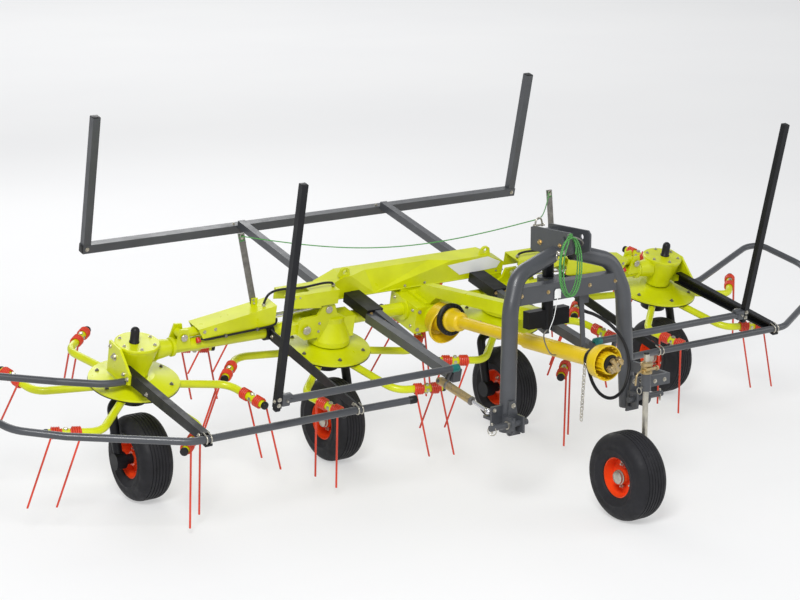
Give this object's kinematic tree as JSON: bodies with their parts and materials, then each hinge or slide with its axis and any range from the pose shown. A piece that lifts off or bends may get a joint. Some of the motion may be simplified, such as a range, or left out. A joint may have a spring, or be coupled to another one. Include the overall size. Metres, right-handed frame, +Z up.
{
  "type": "four-rotor mounted hay tedder",
  "caption": "Mounted hay tedder with folding outer rotors, sprung tines, balloon wheels, a swivelling three-point headstock and guard frames front and rear.",
  "frame": {"origin": "on the floor, at the centre of the machine's bounding box seen from above", "axes": "+X towards the machine's left, -Y forward towards the tractor, +Z up"},
  "size_m": [4.9572, 2.7387, 1.6588],
  "materials": {
    "green_paint": "gloss lime-green enamel",
    "grey_paint": "semi-gloss grey enamel",
    "black_paint": "satin black powder coat",
    "red_paint": "gloss red enamel",
    "spring_steel": "red lacquered spring steel",
    "tyre": "ribbed rubber",
    "yellow_plastic": "moulded yellow guard",
    "zinc": "yellow zinc plated",
    "cord_green": "light green braided cord",
    "hose_rubber": "black rubber hose",
    "chrome": "hard chrome rod"
  },
  "bodies": {
    "root": {"main_beam": "green_paint", "centre_gearbox": "green_paint", "inner_gearboxes": "green_paint", "inner_wheel_legs": "black_paint", "rear_frame": "grey_paint", "guard_bar": "grey_paint", "front_posts": "black_paint", "pivot_mast": "black_paint"},
    "wing_right": {"wing_arm_right": "green_paint", "outer_gearbox_right": "green_paint", "wing_guard_right": "grey_paint", "wing_brackets_right": "black_paint", "outer_wheel_leg_right": "black_paint"},
    "lift_barrel_right": {"lift_barrel_right": "green_paint", "lock_lever_right": "zinc"},
    "lift_rod_right": {"lift_rod_right": "chrome", "lift_hood_right": "green_paint", "lift_hose_right": "hose_rubber"},
    "wing_left": {"wing_arm_left": "green_paint", "outer_gearbox_left": "green_paint", "wing_guard_left": "grey_paint", "wing_brackets_left": "black_paint", "outer_wheel_leg_left": "black_paint"},
    "lift_barrel_left": {"lift_barrel_left": "green_paint"},
    "lift_rod_left": {"lift_rod_left": "chrome", "lift_hood_left": "green_paint", "lift_hose_left": "hose_rubber", "lock_lever_left": "zinc"},
    "rotor_1": {"rotor_1": "green_paint", "tines_1": "spring_steel"},
    "wheel_1": {"tyre_1": "tyre", "rim_1": "red_paint"},
    "rotor_2": {"rotor_2": "green_paint", "tines_2": "spring_steel"},
    "wheel_2": {"tyre_2": "tyre", "rim_2": "red_paint"},
    "rotor_3": {"rotor_3": "green_paint", "tines_3": "spring_steel"},
    "wheel_3": {"tyre_3": "tyre", "rim_3": "red_paint"},
    "rotor_4": {"rotor_4": "green_paint", "tines_4": "spring_steel"},
    "wheel_4": {"tyre_4": "tyre", "rim_4": "red_paint"},
    "headstock": {"headstock": "grey_paint", "arch_right": "grey_paint", "arch_left": "grey_paint", "cord_bundle": "cord_green", "hose_loop": "hose_rubber"},
    "jockey_pole": {"jockey_pole": "zinc"},
    "jockey_wheel": {"jockey_tyre": "tyre", "jockey_rim": "red_paint"},
    "damper_barrel_right": {"damper_barrel_right": "zinc"},
    "damper_rod_right": {"damper_rod_right": "chrome"},
    "damper_barrel_left": {"damper_barrel_left": "zinc"},
    "damper_rod_left": {"damper_rod_left": "chrome"},
    "pto_rear": {"pto_rear_guard": "yellow_plastic"},
    "pto_front": {"pto_front_guard": "yellow_plastic"},
    "pto_yoke": {"pto_yoke": "zinc"}
  },
  "joints": [
    {"name": "fold_right", "type": "hinge", "parent": "root", "child": "wing_right", "pos_m": [-0.7, 0.32831, 0.69935], "axis": [0, 0.9732, 0.23], "range_deg": [0, 90]},
    {"name": "lift_swing_right", "type": "hinge", "parent": "wing_right", "child": "lift_barrel_right", "pos_m": [-1.365, 0.31428, 0.75872], "axis": [0, -0.9732, -0.23], "range_deg": [0, 3.86]},
    {"name": "lift_stroke_right", "type": "slide", "parent": "lift_barrel_right", "child": "lift_rod_right", "axis": [0.9994, -0.0082, 0.0347], "range_m": [-0.2075, 0]},
    {"name": "fold_left", "type": "hinge", "parent": "root", "child": "wing_left", "pos_m": [0.7, 0.32831, 0.69935], "axis": [0, -0.9732, -0.23], "range_deg": [0, 90]},
    {"name": "lift_swing_left", "type": "hinge", "parent": "wing_left", "child": "lift_barrel_left", "pos_m": [1.365, 0.31428, 0.75872], "axis": [0, 0.9732, 0.23], "range_deg": [0, 3.86]},
    {"name": "lift_stroke_left", "type": "slide", "parent": "lift_barrel_left", "child": "lift_rod_left", "axis": [-0.9994, -0.0082, 0.0347], "range_m": [-0.2075, 0]},
    {"name": "rotor_1_turn", "type": "hinge", "parent": "wing_right", "child": "rotor_1", "pos_m": [-1.584, 0.3596, 0.567], "axis": [0, -0.23, 0.9732], "continuous": true},
    {"name": "wheel_1_turn", "type": "hinge", "parent": "wing_right", "child": "wheel_1", "pos_m": [-1.584, 0.3176, 0.203], "axis": [1, 0, 0], "continuous": true},
    {"name": "rotor_2_turn", "type": "hinge", "parent": "root", "child": "rotor_2", "pos_m": [-0.528, 0.3596, 0.567], "axis": [0, -0.23, 0.9732], "continuous": true},
    {"name": "wheel_2_turn", "type": "hinge", "parent": "root", "child": "wheel_2", "pos_m": [-0.528, 0.3176, 0.203], "axis": [1, 0, 0], "continuous": true},
    {"name": "rotor_3_turn", "type": "hinge", "parent": "root", "child": "rotor_3", "pos_m": [0.528, 0.3596, 0.567], "axis": [0, -0.23, 0.9732], "continuous": true},
    {"name": "wheel_3_turn", "type": "hinge", "parent": "root", "child": "wheel_3", "pos_m": [0.528, 0.3176, 0.203], "axis": [1, 0, 0], "continuous": true},
    {"name": "rotor_4_turn", "type": "hinge", "parent": "wing_left", "child": "rotor_4", "pos_m": [1.584, 0.3596, 0.567], "axis": [0, -0.23, 0.9732], "continuous": true},
    {"name": "wheel_4_turn", "type": "hinge", "parent": "wing_left", "child": "wheel_4", "pos_m": [1.584, 0.3176, 0.203], "axis": [1, 0, 0], "continuous": true},
    {"name": "headstock_swivel", "type": "hinge", "parent": "root", "child": "headstock", "pos_m": [0, -0.6904, 1], "axis": [0, 0, 1], "range_deg": [-10, 10]},
    {"name": "jockey_height", "type": "slide", "parent": "headstock", "child": "jockey_pole", "axis": [0, 0, 1], "range_m": [-0.1, 0.15]},
    {"name": "jockey_wheel_turn", "type": "hinge", "parent": "jockey_pole", "child": "jockey_wheel", "pos_m": [0.097, -1.1664, 0.203], "axis": [1, 0, 0], "continuous": true},
    {"name": "damper_swing_right", "type": "hinge", "parent": "root", "child": "damper_barrel_right", "pos_m": [-0.485, -0.5304, 0.59], "axis": [0.9494, 0.2713, -0.1582], "range_deg": [-4.68, 4.68]},
    {"name": "damper_stroke_right", "type": "slide", "parent": "damper_barrel_right", "child": "damper_rod_right", "axis": [0.2158, -0.9296, -0.2988], "range_m": [-0.0732, 0.0732]},
    {"name": "damper_swing_left", "type": "hinge", "parent": "root", "child": "damper_barrel_left", "pos_m": [0.485, -0.5304, 0.59], "axis": [0.9494, -0.2713, 0.1582], "range_deg": [-4.68, 4.68]},
    {"name": "damper_stroke_left", "type": "slide", "parent": "damper_barrel_left", "child": "damper_rod_left", "axis": [-0.2158, -0.9296, -0.2988], "range_m": [-0.0732, 0.0732]},
    {"name": "pto_swing", "type": "hinge", "parent": "root", "child": "pto_rear", "pos_m": [0, 0.1556, 0.68], "axis": [0, 0, 1], "range_deg": [-3.51, 3.51]},
    {"name": "pto_telescope", "type": "slide", "parent": "pto_rear", "child": "pto_front", "axis": [0, -0.9991, 0.0412], "range_m": [-0.08, 0.08]},
    {"name": "pto_yoke_turn", "type": "hinge", "parent": "pto_front", "child": "pto_yoke", "pos_m": [0, -1.1284, 0.733], "axis": [0, -0.9991, 0.0412], "continuous": true}
  ],
  "couplings": [
    {"joint": "lift_swing_right", "follows": "fold_right", "ratio": 0.04228},
    {"joint": "lift_stroke_right", "follows": "fold_right", "m_per_rad": -0.13145},
    {"joint": "lift_swing_left", "follows": "fold_left", "ratio": 0.04228},
    {"joint": "lift_stroke_left", "follows": "fold_left", "m_per_rad": -0.13145},
    {"joint": "rotor_1_turn", "follows": "rotor_2_turn", "ratio": -1},
    {"joint": "rotor_3_turn", "follows": "rotor_2_turn", "ratio": -1},
    {"joint": "rotor_4_turn", "follows": "rotor_2_turn", "ratio": 1},
    {"joint": "damper_swing_right", "follows": "headstock_swivel", "ratio": -0.45791},
    {"joint": "damper_stroke_right", "follows": "headstock_swivel", "m_per_rad": 0.4134},
    {"joint": "damper_swing_left", "follows": "headstock_swivel", "ratio": 0.45791},
    {"joint": "damper_stroke_left", "follows": "headstock_swivel", "m_per_rad": -0.4134},
    {"joint": "pto_swing", "follows": "headstock_swivel", "ratio": 0.34112},
    {"joint": "pto_yoke_turn", "follows": "rotor_2_turn", "ratio": 3.1}
  ]
}
